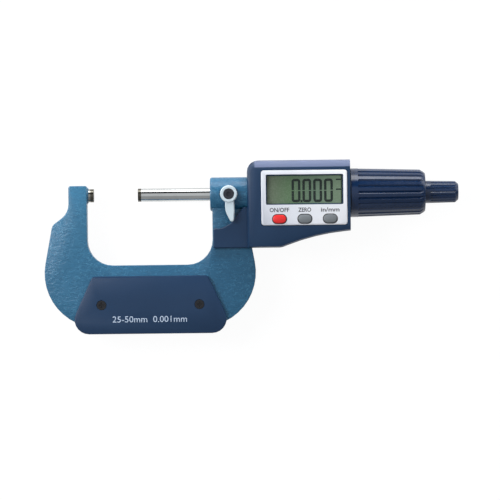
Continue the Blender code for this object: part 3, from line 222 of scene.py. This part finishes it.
def turned_group():
    """Ground or turned metal: fine rings round the X axis, a few deeper scratches and finger marks."""
    maker, given, sink = new_group("turned_metal", [
        ("Base", "Color", BLACK), ("Shade", "Color", BLACK), ("Polish", "Float", 0.2)])
    rings = maker.noise(1.0, 3.0, 0.7, maker.place((5200, 90, 90)))
    scratches = maker.band(maker.noise(1.0, 1.0, 0.5, maker.place((900, 60, 60))), 0.66, 0.74)
    marks = maker.band(maker.noise(90.0, 4.0, 0.6), 0.45, 0.75)
    share = maker.times(maker.plus(scratches, marks), 0.22)
    maker.set(sink, "Color", maker.blend(share, given["Base"], given["Shade"]))
    rough = maker.plus(given["Polish"], maker.band(rings, 0.3, 0.7, -0.04, 0.08))
    maker.set(sink, "Roughness", maker.plus(rough, maker.times(marks, 0.12)))
    maker.set(sink, "Height", maker.plus(rings, maker.times(scratches, -0.6)))
    return maker.tree


HAMMERED = hammered_group()
MOULDED = moulded_group()
TURNED = turned_group()


# Materials

EDGE_SLOPE_W = 4.0 * MM     # the housing's sloping top edge, seen from the front
EDGE_SLOPE = 0.35           # its fall, as a share of that width
HIGHLIGHT_DEPTH = 2.4 * MM      # how far back from the face its painted highlight goes
HIGHLIGHT_LEFT = 3.6 * MM       # how far it starts before the panel
WINDOW_W = 43.6 * MM        # the window's clear opening
WINDOW_H = 17.0 * MM
SHADE_RIGHT = 1.35 * MM     # the painted shade of the window's edge on the display, inside that opening
SHADE_TOP = 0.7 * MM


def opened(material):
    """What a material is worked on with: its tree and its Principled shader."""
    return Tree(material.node_tree), material.node_tree.nodes["Principled BSDF"]


def new_material(name):
    """A material with its tree and shader."""
    material = bpy.data.materials.new(name)
    material.use_nodes = True
    return material, *opened(material)


def finish_from(name, group, values, relief, strength=0.5, **plain):
    """A material whose colour, roughness and relief come from a finish group."""
    material, maker, shader = new_material(name)
    source = maker.add("Group")
    source.node_tree = group
    for label, value in values.items():
        source.inputs[label].default_value = value
    bump = maker.add("Bump", Strength=strength, Distance=relief)
    maker.set(bump, "Height", source.outputs["Height"])
    maker.set(shader, "Base Color", source.outputs["Color"])
    maker.set(shader, "Roughness", source.outputs["Roughness"])
    maker.set(shader, "Normal", bump.outputs[0])
    for label, value in plain.items():
        maker.set(shader, label.replace("_", " "), value)
    return material


def moulded(name, base, light, grain=5200.0, gloss=0.45, relief=0.03 * MM, strength=0.35, **plain):
    """A moulded or blackened finish between two colours."""
    values = {"Base": srgb(*base), "Light": srgb(*light), "Grain": grain, "Gloss": gloss}
    return finish_from(name, MOULDED, values, relief, strength, **plain)


def metal(name, base, shade, polish=0.2):
    """A turned or ground metal between two colours."""
    values = {"Base": srgb(*base), "Shade": srgb(*shade), "Polish": polish}
    return finish_from(name, TURNED, values, 0.01 * MM, 0.3, Metallic=1.0)


def blue_paint():
    """Hammered blue enamel with painted shade, darker from the anvil's arm to the spindle's, and towards the
    foot.
    """
    material = finish_from(
        "hammered_blue_paint", HAMMERED,
        {"Ridge Scale": 520.0, "Base": srgb(56, 114, 147), "Pale": srgb(112, 170, 200),
         "Dark": srgb(24, 72, 104)},
        0.12 * MM, 0.55, Specular_IOR_Level=0.4)
    maker, shader = opened(material)
    painted = shader.inputs["Base Color"].links[0].from_socket
    x, y, _ = maker.axes()
    # Painted shade: the paint darkens by place, towards the spindle's arm and towards the foot, where less
    # light falls.
    shade_towards_spindle = maker.times(maker.band(x, 0.0, 85 * MM), 0.95)
    shade_towards_foot = maker.times(maker.band(y, -2 * MM, -45 * MM), 0.7)
    painted_frame_shade = maker.ramp(maker.plus(shade_towards_spindle, shade_towards_foot), (0.0, WHITE), (1.0, (0.5, 0.7, 0.76, 1)))
    maker.set(shader, "Base Color", maker.blend(1.0, painted, painted_frame_shade, "MULTIPLY"))
    return material


def housing_moulding(base, light):
    """Navy moulding whose long top edge slopes away from the display, with a pale painted highlight along
    that edge.
    """
    material = moulded("housing_moulding", base, light, gloss=0.4, Specular_IOR_Level=0.3)
    maker, shader = opened(material)
    plain = shader.inputs["Base Color"].links[0].from_socket
    grain = shader.inputs["Normal"].links[0].from_node
    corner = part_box("housing_front")[1]
    start = corner.y - EDGE_SLOPE_W
    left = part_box("display_panel")[0].x - HIGHLIGHT_LEFT
    x, y, z = maker.axes()
    slope = maker.add("Bump", Strength=1.0, Distance=1.0)
    maker.set(slope, "Height", maker.band(y, start, corner.y, 0.0, -EDGE_SLOPE_W * EDGE_SLOPE))
    maker.set(grain, "Normal", slope.outputs[0])
    # Painted highlight: a pale lavender band on the sloping top edge, standing in for the light's reflection
    # there.
    wear_and_painted_highlight = maker.times(maker.beyond(y, start + 0.1 * MM, 0.2 * MM), 0.85)
    wear_and_painted_highlight = maker.times(wear_and_painted_highlight, maker.beyond(x, left, 0.4 * MM))
    wear_and_painted_highlight = maker.times(wear_and_painted_highlight, maker.beyond(z, corner.z - HIGHLIGHT_DEPTH, 0.5 * MM))
    maker.set(shader, "Base Color", maker.blend(wear_and_painted_highlight, plain, srgb(103, 115, 147)))
    return material


def display_glass():
    """Grey-green liquid crystal field, more olive at its left end, with painted shade of the window's edge
    along its right and top.
    """
    material, maker, shader = new_material("liquid_crystal_field")
    low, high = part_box("display_window")
    right = (low.x + high.x + WINDOW_W) / 2
    top = (low.y + high.y + WINDOW_H) / 2
    x, y, _ = maker.axes()
    field = maker.ramp(maker.band(x, low.x, high.x), (0.0, srgb(114, 124, 107)), (0.3, srgb(102, 130, 98)),
                       (0.65, srgb(114, 139, 118)), (1.0, srgb(132, 155, 128)))
    cloud = maker.band(maker.noise(120.0, 3.0), 0.3, 0.7, 0.0, 0.12)
    field = maker.blend(cloud, field, srgb(92, 108, 88))
    # Painted shade: a dark band at the right and top where the window's edge shades the field.
    window_edge_shade = maker.math("MAXIMUM", maker.beyond(x, right - SHADE_RIGHT, 0.25 * MM),
                     maker.beyond(y, top - SHADE_TOP, 0.2 * MM))
    maker.set(shader, "Base Color", maker.blend(maker.times(window_edge_shade, 0.85), field, srgb(36, 40, 36)))
    maker.set(shader, "Specular IOR Level", 0.2)
    maker.set(shader, "Roughness", maker.band(maker.noise(900.0, 2.0), 0.3, 0.7, 0.22, 0.32))
    return material


def clear_window():
    """Clear acrylic with faint wipe marks."""
    material, maker, shader = new_material("clear_window")
    maker.set(shader, "Base Color", srgb(40, 46, 42))
    wipe = maker.noise(1.0, 3.0, 0.6, maker.place((60, 900, 60)))
    maker.set(shader, "Roughness", maker.band(wipe, 0.35, 0.7, 0.05, 0.16))
    maker.set(shader, "Specular IOR Level", 0.2)
    maker.set(shader, "Alpha", 0.05)
    return material


def silver_panel():
    """Silver-white lacquer with fine metal flakes, greyer towards its left end and its foot."""
    material, maker, shader = new_material("silver_lacquer")
    flakes = maker.add("TexVoronoi", Scale=5200.0)
    maker.set(flakes, "Vector", maker.place())
    spread = maker.band(flakes.outputs[0], 0.0, 0.6)
    clouds = maker.band(maker.noise(45.0, 3.0), 0.35, 0.7, 0.0, 0.25)
    low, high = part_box("display_panel")
    x, y, _ = maker.axes()
    greyer_left_and_low = maker.plus(maker.band(x, high.x, low.x, 0.0, 0.5), maker.band(y, high.y, low.y, 0.0, 0.2))
    share = maker.plus(maker.plus(maker.times(spread, 0.22), clouds), greyer_left_and_low)
    maker.set(shader, "Base Color", maker.blend(share, srgb(252, 253, 255), srgb(204, 209, 220)))
    maker.set(shader, "Roughness", maker.band(flakes.outputs[0], 0.0, 0.7, 0.28, 0.42))
    maker.set(shader, "Metallic", 0.1)
    bump = maker.add("Bump", Strength=0.12, Distance=0.01 * MM)
    maker.set(bump, "Height", spread)
    maker.set(shader, "Normal", bump.outputs[0])
    return material


def printed(name, colour, pale):
    """Screen-printed ink, a little uneven."""
    material, maker, shader = new_material(name)
    cover = maker.band(maker.noise(2400.0, 3.0), 0.35, 0.65, 0.0, 0.3)
    maker.set(shader, "Base Color", maker.blend(cover, srgb(*colour), srgb(*pale)))
    maker.set(shader, "Roughness", maker.band(cover, 0.0, 0.3, 0.4, 0.6))
    return material


def green_board():
    """Solder mask over copper tracks."""
    material, maker, shader = new_material("green_board")
    tracks = maker.add("TexBrick", Scale=1.0, Mortar_Size=0.35 * MM, Brick_Width=6 * MM, Row_Height=1.7 * MM,
                       Color1=srgb(24, 88, 52), Color2=srgb(30, 98, 60), Mortar=srgb(78, 132, 74))
    maker.set(tracks, "Vector", maker.place())
    maker.set(shader, "Base Color", tracks.outputs[0])
    maker.set(shader, "Roughness", maker.band(maker.noise(300.0), 0.3, 0.7, 0.3, 0.45))
    return material


def make_finishes():
    """Every finish by its short name."""
    navy = ((20, 49, 80), (40, 70, 104))
    fine = {"relief": 0.02 * MM, "strength": 0.3}
    screw = {"grain": 3000.0, "relief": 0.02 * MM, "strength": 0.4}
    rubber = {"grain": 2600.0, "gloss": 0.75, "relief": 0.04 * MM, "strength": 0.4}
    return {
        "blue_paint": blue_paint(),
        "navy_moulding": moulded("navy_moulding", *navy, gloss=0.46, Specular_IOR_Level=0.3),
        "navy_housing": housing_moulding(*navy),
        "navy_grip": moulded("navy_grip", (4, 35, 70), (18, 52, 92), grain=6400.0, gloss=0.28, **fine,
                             Specular_IOR_Level=0.5),
        "spindle": metal("ground_spindle", (206, 209, 209), (146, 146, 144), 0.09),
        # the barrel's dark grey is partly painted shade, darkening the gap between housing and thimble where
        # it shows
        "barrel": metal("barrel_grey_and_gap_shade", (84, 86, 90), (56, 57, 60), 0.45),
        "steel": metal("turned_steel", (168, 168, 170), (110, 108, 106), 0.3),
        "anvil": metal("ground_anvil", (150, 150, 144), (96, 92, 82), 0.16),
        "carbide": metal("hard_metal", (92, 90, 82), (60, 54, 46), 0.2),
        "brass": metal("brass", (196, 160, 88), (140, 104, 52), 0.3),
        "screw_black": moulded("blackened_screw", (34, 35, 39), (64, 66, 70), gloss=0.36, **screw,
                               Metallic=0.5),
        "screw_grey": moulded("lock_screw_steel", (52, 55, 62), (88, 90, 94), gloss=0.42, **screw,
                              Metallic=0.7),
        "white_enamel": moulded("white_enamel", (194, 210, 218), (220, 231, 237), grain=1400.0, gloss=0.34,
                                relief=0.04 * MM, strength=0.2),
        "silver": silver_panel(),
        "window": clear_window(),
        "field": display_glass(),
        "black_plastic": moulded("black_plastic", (26, 27, 28), (52, 54, 56), grain=4200.0, gloss=0.5),
        "rubber": moulded("grey_rubber", (116, 118, 120), (146, 148, 150), **rubber),
        "black_rubber": moulded("black_rubber", (24, 24, 25), (50, 50, 50), **rubber),
        "board": green_board(),
        "red": moulded("red_button", (222, 24, 26), (238, 70, 64), gloss=0.4),
        "grey": moulded("grey_button", (108, 114, 118), (142, 148, 152), gloss=0.48),
        "figures": printed("display_figures", (8, 28, 24), (22, 44, 38)),
        "panel_ink": printed("panel_ink", (20, 22, 34), (42, 44, 58)),
        "plate_ink": printed("plate_ink", (184, 200, 220), (132, 150, 178)),
    }


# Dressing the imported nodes

NODES_BY_FINISH = {
    "blue_paint": ("frame",),
    "navy_moulding": ("housing_back", "cover_plate_front", "cover_plate_back", "battery_cap"),
    "navy_housing": ("housing_front",),
    "navy_grip": ("thimble_grip", "ratchet_knob"),
    "spindle": ("spindle",),
    "barrel": ("barrel",),
    "anvil": ("anvil",),
    "carbide": ("anvil_tip", "spindle_tip"),
    "steel": ("battery", "mounting_flange", "rotor_key", "wave_spring", "adjusting_nut", "thimble_core",
              "ratchet_base", "ratchet_pawl", "ratchet_spring", "lock_stud"),
    "brass": ("battery_contact_side", "battery_contact_top", "lock_pad"),
    "board": ("circuit_board", "encoder_stator", "encoder_rotor"),
    "rubber": ("contact_strip_top", "contact_strip_foot", "keypad"),
    "black_rubber": ("battery_seal",),
    "black_plastic": ("lcd_holder",),
    "silver": ("display_panel",),
    "window": ("display_window",),
    "field": ("lcd_glass",),
    "white_enamel": ("lock_lever",),
    "screw_grey": ("lock_screw",),
    "red": ("button_on_off",),
    "grey": ("button_zero", "button_units"),
}
OTHER_FINISH = "screw_black"        # the housing, plate and ratchet screws
WELD_GAP = 0.002 * MM
CREASE = math.radians(32)           # edges sharper than this stay crisp

finishes = make_finishes()
finish_of = {name: finish for finish, names in NODES_BY_FINISH.items() for name in names}


def dress_node(name, node):
    """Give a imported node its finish, and shade its curved faces smooth."""
    node.data.materials.clear()
    node.data.materials.append(finishes[finish_of.get(name, OTHER_FINISH)])
    node.data.polygons.foreach_set("use_smooth", [True] * len(node.data.polygons))
    weld = node.modifiers.new("joined_corners", "WELD")
    weld.merge_threshold = WELD_GAP
    split = node.modifiers.new("crisp_edges", "EDGE_SPLIT")
    split.split_angle = CREASE


for node_name, cad_node in nodes.items():
    dress_node(node_name, cad_node)


# New pieces

DIGIT_COUNT = 4
DIGIT_W = 5.0 * MM
DIGIT_H = 13.2 * MM
DIGIT_STROKE = 1.4 * MM
DIGIT_CORNER = 1.2 * DIGIT_STROKE
DIGIT_SPLIT = 0.17 * DIGIT_STROKE       # half the gap between a figure's two halves
DIGIT_PITCH = 6.1 * MM
DIGIT_FIRST_X = 114.5 * MM
DIGIT_Y = 1.4 * MM
POINT_W = 1.1 * MM
POINT_H = 1.3 * MM
POINT_RISE = 0.6 * MM                   # of its middle, above the figures' foot
MARK_W = 2.8 * MM
MARK_H = 0.8 * MM
MARK_X = DIGIT_FIRST_X + 3.92 * DIGIT_PITCH
MARK_RISES = (0.46 * DIGIT_H, 0.04 * DIGIT_H)
INK_T = 0.04 * MM

BUTTON_W = 7.6 * MM
BUTTON_H = 4.8 * MM
GAP_SHADE_W = 0.45 * MM

CAP_SHARE = 0.72                        # a capital's height as a share of the font's size
LABEL_Y = -9.6 * MM
LABEL_H = 2.4 * MM
LABEL_BOLD = 0.02
LABELS = (("ON/OFF", "button_on_off", 11.0 * MM), ("ZERO", "button_zero", 7.2 * MM),
          ("in/mm", "button_units", 10.4 * MM))
RANGE_H = 3.6 * MM
RANGE_W = 42.0 * MM
RANGE_X = 31.2 * MM
RANGE_Y = -70.4 * MM


def fresh_start():
    """Nothing selected and object mode, as an operator expects."""
    if bpy.context.object and bpy.context.object.mode != "OBJECT":
        bpy.ops.object.mode_set(mode="OBJECT")
    bpy.ops.object.select_all(action="DESELECT")


def settle(item, name, finish, body):
    """Name a finished piece, put its place into its mesh and let it ride on its body."""
    fresh_start()
    item.select_set(True)
    bpy.context.view_layer.objects.active = item
    bpy.ops.object.transform_apply(location=True, rotation=True, scale=True)
    item.name = name
    item.data.materials.clear()
    item.data.materials.append(finishes[finish])
    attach(item, body)


def flat_ring(width, height, corner, stroke, thickness, cut=None):
    """A thin ring with rounded corners, or only its upper part above a cut."""
    fresh_start()
    bpy.ops.mesh.primitive_plane_add(size=1.0)
    item = bpy.context.object
    item.scale = (width, height, 1)
    bpy.ops.object.transform_apply(location=True, rotation=True, scale=True)
    bpy.ops.object.mode_set(mode="EDIT")
    bpy.ops.mesh.select_all(action="SELECT")
    bpy.ops.mesh.bevel(offset=corner, segments=8, affect="VERTICES")
    bpy.ops.mesh.select_all(action="SELECT")
    bpy.ops.mesh.inset(thickness=stroke)
    bpy.ops.mesh.delete(type="FACE")
    if cut is not None:
        bpy.ops.mesh.select_all(action="SELECT")
        bpy.ops.mesh.bisect(plane_co=(0, cut, 0), plane_no=(0, 1, 0), clear_inner=True)
    bpy.ops.mesh.select_all(action="SELECT")
    bpy.ops.mesh.extrude_region_move(TRANSFORM_OT_translate={"value": (0, 0, thickness)})
    bpy.ops.mesh.select_all(action="SELECT")
    bpy.ops.mesh.normals_make_consistent(inside=False)
    bpy.ops.object.mode_set(mode="OBJECT")
    return item


def copy_at(item, place, turn=0.0):
    """A copy with its own mesh, at a place and turned about Z."""
    twin = item.copy()
    twin.data = item.data.copy()
    bpy.context.collection.objects.link(twin)
    twin.location = place
    twin.rotation_euler = (0, 0, turn)
    return twin


def joined(items):
    """Several objects made one."""
    fresh_start()
    for item in items:
        item.select_set(True)
    bpy.context.view_layer.objects.active = items[0]
    bpy.ops.object.join()
    return bpy.context.object


def bar(width, height, thickness, place):
    """A small flat bar with bevelled corners, standing on its place."""
    fresh_start()
    bpy.ops.mesh.primitive_cube_add(size=1.0, location=(place[0], place[1], place[2] + thickness / 2))
    item = bpy.context.object
    item.scale = (width, height, thickness)
    bpy.ops.object.transform_apply(location=False, rotation=False, scale=True)
    bevel = item.modifiers.new("corners", "BEVEL")
    bevel.width = min(width, height) * 0.3
    bevel.segments = 2
    bevel.limit_method = "ANGLE"
    bpy.ops.object.modifier_apply(modifier="corners")
    return item


def make_display_figures():
    """Reading of nought with three decimals, its point, and two small unit marks."""
    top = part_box("lcd_glass")[1].z
    arch = flat_ring(DIGIT_W, DIGIT_H, DIGIT_CORNER, DIGIT_STROKE, INK_T, DIGIT_SPLIT)
    items = []
    for index in range(DIGIT_COUNT):
        place = (DIGIT_FIRST_X + index * DIGIT_PITCH, DIGIT_Y, top)
        items.append(copy_at(arch, place))
        items.append(copy_at(arch, place, math.pi))
    bpy.data.objects.remove(arch)
    point_place = (DIGIT_FIRST_X + DIGIT_PITCH / 2, DIGIT_Y - DIGIT_H / 2 + POINT_RISE, top)
    items.append(bar(POINT_W, POINT_H, INK_T, point_place))
    for rise in MARK_RISES:
        items.append(bar(MARK_W, MARK_H, INK_T, (MARK_X, DIGIT_Y + rise, top)))
    settle(joined(items), "display_figures", "figures", "frame")


def make_button_lips():
    """A thin dark ring on the panel round each button: painted shade of the gap between button and panel."""
    panel_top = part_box("display_panel")[1].z
    width = BUTTON_W + 2 * GAP_SHADE_W
    height = BUTTON_H + 2 * GAP_SHADE_W
    for button in ("button_on_off", "button_zero", "button_units"):
        low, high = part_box(button)
        middle = (low + high) / 2
        # painted shade: a flat dark ring standing in for the shadow in the gap round the button
        gap_shade = flat_ring(width, height, height * 0.49, GAP_SHADE_W, INK_T)
        gap_shade.location = (middle.x, middle.y, panel_top)
        settle(gap_shade, "lip_" + button, "black_plastic", "frame")


def make_words(name, words, height, width, place, finish, bold=0.0):
    """Generic lettering printed on a face."""
    fresh_start()
    bpy.ops.object.text_add(location=(0, 0, 0))
    item = bpy.context.object
    item.data.body = words
    item.data.align_x = "CENTER"
    item.data.align_y = "CENTER"
    item.data.size = height / CAP_SHARE
    item.data.extrude = INK_T / 2
    item.data.offset = height * bold
    item.data.resolution_u = 3
    bpy.ops.object.convert(target="MESH")
    item = bpy.context.object
    item.scale.x = width / item.dimensions.x
    item.location = (place[0], place[1], place[2] + INK_T / 2)
    settle(item, name, finish, "frame")


def make_lettering():
    """A word over each button, and the range and resolution on the front plate."""
    panel_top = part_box("display_panel")[1].z
    for words, button, width in LABELS:
        low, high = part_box(button)
        place = ((low.x + high.x) / 2, LABEL_Y, panel_top)
        make_words("label_" + button, words, LABEL_H, width, place, "panel_ink", LABEL_BOLD)
    plate_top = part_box("cover_plate_front")[1].z
    make_words("range_lettering", "25-50mm  0.001mm", RANGE_H, RANGE_W, (RANGE_X, RANGE_Y, plate_top),
               "plate_ink")


make_display_figures()
make_button_lips()
make_lettering()


# Floor, light and camera

CENTRE = Vector((88.2 * MM, -31.8 * MM, 0))
VIEW_WIDTH = 283.3 * MM     # seen at the height VIEW_Z
VIEW_Z = 3.0 * MM
LENS = 220.0
ROLL = math.radians(0.65)
FLOOR_SIZE = 6.0
FLOOR_GAP = 0.3 * MM
FLOOR_GLOW = 1.05
GLOW_SHARE = 0.9            # what is left of the floor's own shading keeps a faint shadow
SOFT_BOX = 6.5              # how many times brighter than white paper
LIGHT_ZONES = ((-100, 0.22), (-70, 0.4), (-24, 0.4), (-14, 0.72), (25, 0.72), (30, 0.04), (58, 0.04),
               (68, SOFT_BOX))
LAMP_PLACE = Vector((-0.62, 0.25, 0.75))
LAMP_SIZE = 0.5
LAMP_POWER = 6.5
COOL_WHITE = (0.97, 0.98, 1.0)


def make_floor():
    """A white table that keeps the gauge's shadow."""
    fresh_start()
    place = (CENTRE.x, CENTRE.y, cad_box[0][2] - FLOOR_GAP)
    bpy.ops.mesh.primitive_plane_add(size=FLOOR_SIZE, location=place)
    floor = bpy.context.object
    floor.name = "table_top"
    material, maker, shader = new_material("white_table")
    maker.set(shader, "Base Color", (0.86, 0.86, 0.87, 1))
    maker.set(shader, "Roughness", 0.9)
    rays = maker.add("LightPath")
    seen = maker.math("MAXIMUM", rays.outputs["Is Camera Ray"], rays.outputs["Is Glossy Ray"])
    seen = maker.math("MAXIMUM", seen, rays.outputs["Is Transmission Ray"])
    glow = maker.add("Emission", Color=WHITE, Strength=FLOOR_GLOW)
    mix = maker.add("MixShader")
    maker.set(mix, "0", maker.times(seen, GLOW_SHARE))
    maker.set(mix, "1", shader.outputs[0])
    maker.set(mix, "2", glow.outputs[0])
    maker.set(material.node_tree.nodes["Material Output"], "Surface", mix.outputs[0])
    floor.data.materials.append(material)


def make_world():
    """Studio light in zones of angle about the spindle: 0 is overhead, 90 level beyond the housing's top."""
    world = bpy.data.worlds.new("studio")
    bpy.context.scene.world = world
    world.use_nodes = True
    maker = Tree(world.node_tree)
    background = world.node_tree.nodes["Background"]
    coordinates = maker.add("TexCoord")
    along = maker.add("SeparateXYZ")
    maker.set(along, "Vector", coordinates.outputs["Generated"])
    angle = maker.math("ARCTAN2", along.outputs[1], along.outputs[2])
    stops = []
    for degrees, level in LIGHT_ZONES:
        share = level / SOFT_BOX
        stops.append(((degrees + 180) / 360, (*(share * part for part in COOL_WHITE), 1)))
    round_axis = maker.ramp(maker.band(angle, -math.pi, math.pi), *stops)
    ends = maker.band(maker.math("ABSOLUTE", along.outputs[0]), 0.4, 0.9, 1.0, 0.45)
    sky = maker.blend(1.0, round_axis, ends, "MULTIPLY")
    rays = maker.add("LightPath")
    paper = (1 / SOFT_BOX, 1 / SOFT_BOX, 1 / SOFT_BOX, 1)
    maker.set(background, "Color", maker.blend(rays.outputs["Is Camera Ray"], sky, paper))
    maker.set(background, "Strength", SOFT_BOX)


def make_lamp():
    """A soft box high up beyond the anvil's end, aimed at the middle of the gauge."""
    data = bpy.data.lights.new("left_fill", "AREA")
    data.size = LAMP_SIZE
    data.energy = LAMP_POWER
    data.color = COOL_WHITE
    lamp = bpy.data.objects.new("left_fill", data)
    bpy.context.collection.objects.link(lamp)
    lamp.location = LAMP_PLACE
    lamp.rotation_euler = (CENTRE - LAMP_PLACE).to_track_quat("-Z", "Y").to_euler()


def make_camera():
    """Straight above the gauge, as the photograph was taken, turned a little about its own axis."""
    data = bpy.data.cameras.new("camera")
    data.lens = LENS
    data.clip_end = 10
    camera = bpy.data.objects.new("camera", data)
    bpy.context.collection.objects.link(camera)
    distance = data.lens / data.sensor_width * VIEW_WIDTH
    camera.location = CENTRE + Vector((0, 0, VIEW_Z + distance))
    camera.rotation_euler = (0, 0, -ROLL)
    bpy.context.scene.camera = camera


make_floor()
make_world()
make_lamp()
make_camera()
bpy.context.scene.view_settings.view_transform = "Standard"
